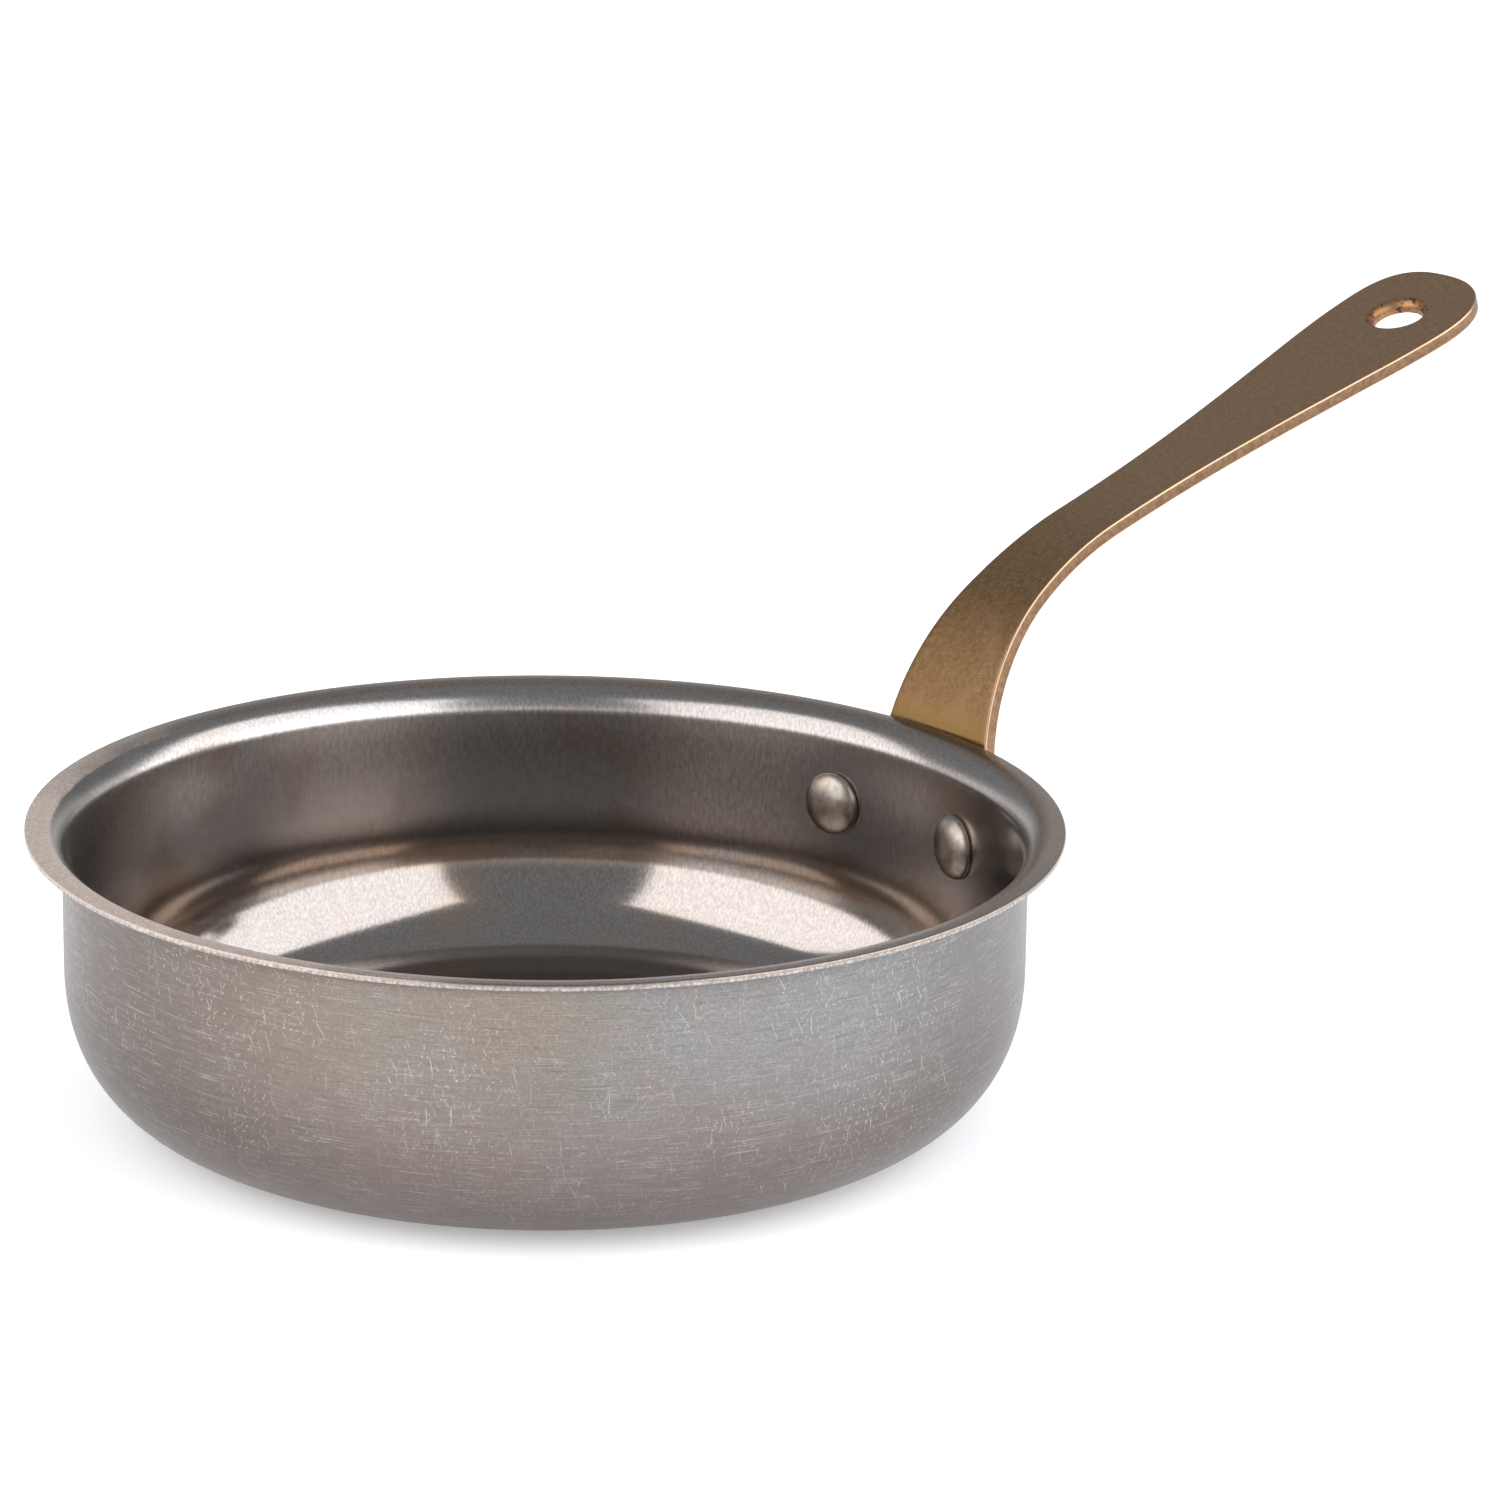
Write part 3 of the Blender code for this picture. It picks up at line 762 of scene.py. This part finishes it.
# the bronze's colours: a pair is the darkest and lightest of a fine mottle
BROWN = ((0.345, 0.200, 0.104), (0.430, 0.257, 0.138))
GOLDEN_BROWN = ((0.205, 0.112, 0.048), (0.290, 0.165, 0.074))
ROSY = (0.40, 0.225, 0.135)
DARK_GRIT = (0.20, 0.112, 0.060)
PALE_SPECK = (0.70, 0.50, 0.32)
RIM_BROWN = (0.090, 0.050, 0.022)
RUBBED_GOLD = (0.190, 0.112, 0.034)
# painted shade: the bar's side faces are darkened
PAINTED_BAR_SIDE_SHADE = ((0.155, 0.090, 0.049), (0.220, 0.132, 0.077))
# the bore's own copper brown, with painted shade in the hole
BORE_COPPER_AND_SHADE = ((0.330, 0.175, 0.085), (0.10, 0.060, 0.040))
WORN_EDGE = (0.62, 0.42, 0.28)
BRONZE_BUMP = (0.3, 0.00005)  # strength, and height in metres


def aged_bronze():
    """The handle's metal: a brown bronze, golden near the rim, with worn edges and fine specks."""
    material, shader, bench = new_metal("aged_bronze")
    place = bench.add("ShaderNodeTexCoord", {}, {}, output="Object")
    along, inset, side, bore = (
        bench.add("ShaderNodeAttribute", {"attribute_name": name}, {}, output="Fac")
        for name in ("along", "inset", "side", "bore")
    )
    cloud = place.noise(120.0, 3.0, 0.6)
    mottle = place.noise(1100.0, 3.0, 0.65)
    grit = place.noise(3000.0, 2.0, 0.6)
    mottled = mottle.ramp(0.30, 0.70)
    golden = (1 - along.ramp(0.012, 0.066)) * (0.75 + 0.5 * cloud)
    rosy = cloud.ramp(0.50, 0.66)
    specks = place.noise(5200.0, 1.0, 0.5).ramp(0.64, 0.72)
    colour = golden.mix(mottled.mix(*BROWN), mottled.mix(*GOLDEN_BROWN))
    colour = (0.35 * rosy).mix(colour, ROSY)
    colour = (0.35 * grit.ramp(0.56, 0.70)).mix(colour, DARK_GRIT)
    colour = (0.6 * specks).mix(colour, PALE_SPECK)

    # at the rim the bar is darker, with a band rubbed to a yellow gold; its side faces are darkened
    # to a dull brown as painted shade
    gold = (1 - along.ramp(0.000, 0.005)) * along.ramp(-0.008, -0.002)
    near_rim = 1 - along.ramp(0.003, 0.024)
    pitted = place.noise(900.0, 2.0, 0.6).ramp(0.52, 0.62)
    colour = (0.6 * near_rim).mix(colour, RIM_BROWN)
    colour = (0.6 * gold).mix(colour, RUBBED_GOLD)
    colour = side.mix(colour, mottle.ramp(0.35, 0.65).mix(*PAINTED_BAR_SIDE_SHADE))
    # the hole and most of its rounded mouth: a copper brown with painted shade over it
    colour = bore.mix(colour, pitted.mix(*BORE_COPPER_AND_SHADE))

    # the edges are worn bright, more in some places than in others
    wear = 1 - (inset + 0.00016 * (mottle - 0.5)).ramp(0.00008, 0.00034)
    wear = wear * (0.60 + 0.7 * (place.noise(90.0, 3.0, 0.6) - 0.35)) * (1 - side)
    colour = wear.mix(colour, WORN_EDGE)
    rough = 0.37 + 0.10 * (mottle - 0.5) - 0.12 * wear + 0.05 * side + 0.08 * bore
    bump = bench.bump(BRONZE_BUMP, mottle + 0.4 * grit)
    feed(shader, Base_Color=colour, Roughness=rough, Normal=bump)
    return material


points, faces, values = handle_mesh()
handle = add_piece("bar_handle", points, faces, values)
handle.data.materials.append(aged_bronze())
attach(handle, "root")
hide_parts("handle")


# ---------------------------------------------------------------- the rivets
# Two steel rivets with domed heads inside the pan. Each shank goes through the wall and the
# handle's foot, and is set down outside into a lower tail.

SHANK_RADIUS = 0.0025
HEAD_RADIUS = 0.00525
HEAD_HEIGHT = 0.0022
HEAD_SEAT = 0.0731  # the head's flat face beds on the wall, its rim just clear of the curve
TAIL_RADIUS = 0.0043
TAIL_HEIGHT = 0.0015
TAIL_SEAT = FOOT_RADIUS + BAR_THICKNESS + FOOT_GAP
RIVET_TURNS = 72  # points round a rivet
DOME_STEPS = 22  # points over its head, and over its tail


def rivet_section():
    """The rivet's half section: a quarter ellipse for the head, the straight shank, and another
    quarter ellipse for the tail."""
    angle = np.linspace(0, math.pi / 2, DOME_STEPS)
    head = np.stack(
        [HEAD_RADIUS * np.sin(angle), HEAD_SEAT - HEAD_HEIGHT * np.cos(angle)], axis=1
    )
    shank = np.array([(SHANK_RADIUS, HEAD_SEAT), (SHANK_RADIUS, TAIL_SEAT)])
    tail = np.stack(
        [TAIL_RADIUS * np.cos(angle), TAIL_SEAT + TAIL_HEIGHT * np.sin(angle)], axis=1
    )
    tail[-1, 0] = 0
    return np.concatenate([head, shank, tail])


def rivet_place(angle):
    """Turns +Z to point out from the pan's axis at this angle, at the rivets' height."""
    pointing = Vector((math.cos(angle), math.sin(angle), 0)).to_track_quat("Z", "Y")
    return Matrix.Translation((0, 0, PAN_HEIGHT - RIVET_DROP)) @ pointing.to_matrix().to_4x4()


RIVET_STEEL = ((0.270, 0.230, 0.197), (0.390, 0.348, 0.308))
RIVET_TAN = (0.36, 0.27, 0.19)
RIVET_PIT = (0.15, 0.125, 0.105)
RIVET_BUMP = (0.3, 0.00005)  # strength, and height in metres


def aged_rivet_steel():
    """The rivets' metal: satin steel, mottled with the pan's warm blackening."""
    material, shader, bench = new_metal("aged_rivet_steel")
    place = bench.add("ShaderNodeTexCoord", {}, {}, output="Object")
    mottle = place.noise(500.0, 4.0, 0.6)
    warm = place.noise(330.0, 2.0, 0.5).ramp(0.50, 0.65)
    pits = place.noise(2400.0, 2.0, 0.6).ramp(0.58, 0.70)
    colour = mottle.ramp(0.35, 0.65).mix(*RIVET_STEEL)
    colour = (0.5 * warm).mix(colour, RIVET_TAN)
    colour = (0.5 * pits).mix(colour, RIVET_PIT)
    bump = bench.bump(RIVET_BUMP, mottle)
    feed(shader, Base_Color=colour, Roughness=0.29 + 0.14 * mottle, Normal=bump)
    return material


rivet_metal = aged_rivet_steel()
for side_name, angle in (("left", RIVET_ANGLE), ("right", -RIVET_ANGLE)):
    place = rivet_place(angle)
    rivet = turned_piece("domed_rivet_" + side_name, rivet_section(), RIVET_TURNS, place)
    rivet.data.materials.append(rivet_metal)
    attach(rivet, "root")
    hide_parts("rivet_" + side_name)


# ---------------------------------------------------------------- the floor and the light
# A pale seamless table that glows faintly of itself, two tall soft boxes on either hand of the
# pan, and a wide soft light overhead that whitens the table.

FLOOR_SIZE = 8.0
PAPER_TONES = ((0.90, 0.895, 0.89), (0.92, 0.915, 0.91))
PAPER_CLOUDS = 3.0
PAPER_GLOW = 0.28

BOX_DISTANCE = 0.8
BOX_FOOT = 0.02
BOX_TOP = 1.28
BOX_BRIGHTNESS = 2.4

OVERHEAD_SIZE = 3.0
OVERHEAD_WATTS = 20.0
OVERHEAD_PLACE = (0.5, 0.6, 1.8)

SKY_FADE = (math.radians(6), math.radians(19))  # above the horizon, from white to the room's grey
WHITE = (1.0, 1.0, 1.0)
ROOM_GREY = (0.35, 0.375, 0.405)

ends = np.linspace(-1, 1, 3)
floor_grid = np.stack(np.meshgrid(ends, ends, indexing="ij") + [np.zeros((3, 3))], axis=-1)
floor_points = (floor_grid * FLOOR_SIZE / 2).reshape(-1, 3)
floor = bpy.data.objects.new("floor", bpy.data.meshes.new("floor"))
floor.data.from_pydata(floor_points.tolist(), [], grid_faces(3, 3)[:, ::-1].tolist())
bpy.context.scene.collection.objects.link(floor)
paper = bpy.data.materials.new("pale_paper")
paper.use_nodes = True
paper_shader = paper.node_tree.nodes["Principled BSDF"]
paper_shader.inputs["Roughness"].default_value = 0.9
paper_shader.inputs["Specular IOR Level"].default_value = 0.1
paper_shader.inputs["Emission Color"].default_value = (*WHITE, 1.0)
paper_shader.inputs["Emission Strength"].default_value = PAPER_GLOW
paper_place = Signal(paper.node_tree).add("ShaderNodeTexCoord", {}, {}, output="Object")
feed(paper_shader, Base_Color=paper_place.noise(PAPER_CLOUDS).mix(*PAPER_TONES))
floor.data.materials.append(paper)


def soft_box(name, azimuth, width, colour):
    """An upright soft box beside the pan, square to the line from it. The azimuth is counted from
    straight behind the pan as the camera sees it, positive to the camera's right."""
    light = bpy.data.lights.new(name, "AREA")
    light.shape = "RECTANGLE"
    light.size = width
    light.size_y = BOX_TOP - BOX_FOOT
    light.energy = BOX_BRIGHTNESS * math.pi * width * (BOX_TOP - BOX_FOOT)
    light.color = colour
    lamp = bpy.data.objects.new(name, light)
    heading = CAMERA_ROUND + math.pi - math.radians(azimuth)
    away = Vector((math.cos(heading), math.sin(heading), 0))
    turn = away.to_track_quat("Z", "Y").to_matrix().to_4x4()
    middle = away * BOX_DISTANCE + Vector((0, 0, (BOX_FOOT + BOX_TOP) / 2))
    lamp.matrix_world = Matrix.Translation(middle) @ turn
    lamp.visible_camera = False
    bpy.context.scene.collection.objects.link(lamp)


soft_box("soft_box_right", azimuth=107, width=1.60, colour=(0.95, 0.98, 1.03))
soft_box("soft_box_left", azimuth=-113.5, width=1.27, colour=(0.97, 0.98, 1.0))

overhead_light = bpy.data.lights.new("overhead", "AREA")
overhead_light.size = OVERHEAD_SIZE
overhead_light.energy = OVERHEAD_WATTS
overhead = bpy.data.objects.new("overhead", overhead_light)
overhead.location = OVERHEAD_PLACE
overhead.visible_camera = False
overhead.visible_glossy = False
bpy.context.scene.collection.objects.link(overhead)

world = bpy.data.worlds.new("studio")
bpy.context.scene.world = world
world.use_nodes = True
up = Signal(world.node_tree).add("ShaderNodeTexCoord", {}, {}, output="Generated").parts()[2]
glow = up.ramp(math.sin(SKY_FADE[0]), math.sin(SKY_FADE[1])).mix(WHITE, ROOM_GREY)
background = world.node_tree.nodes["Background"]
world.node_tree.links.new(glow.socket, background.inputs["Color"])
background.inputs["Strength"].default_value = 1.0
bpy.context.scene.view_settings.view_transform = "Standard"
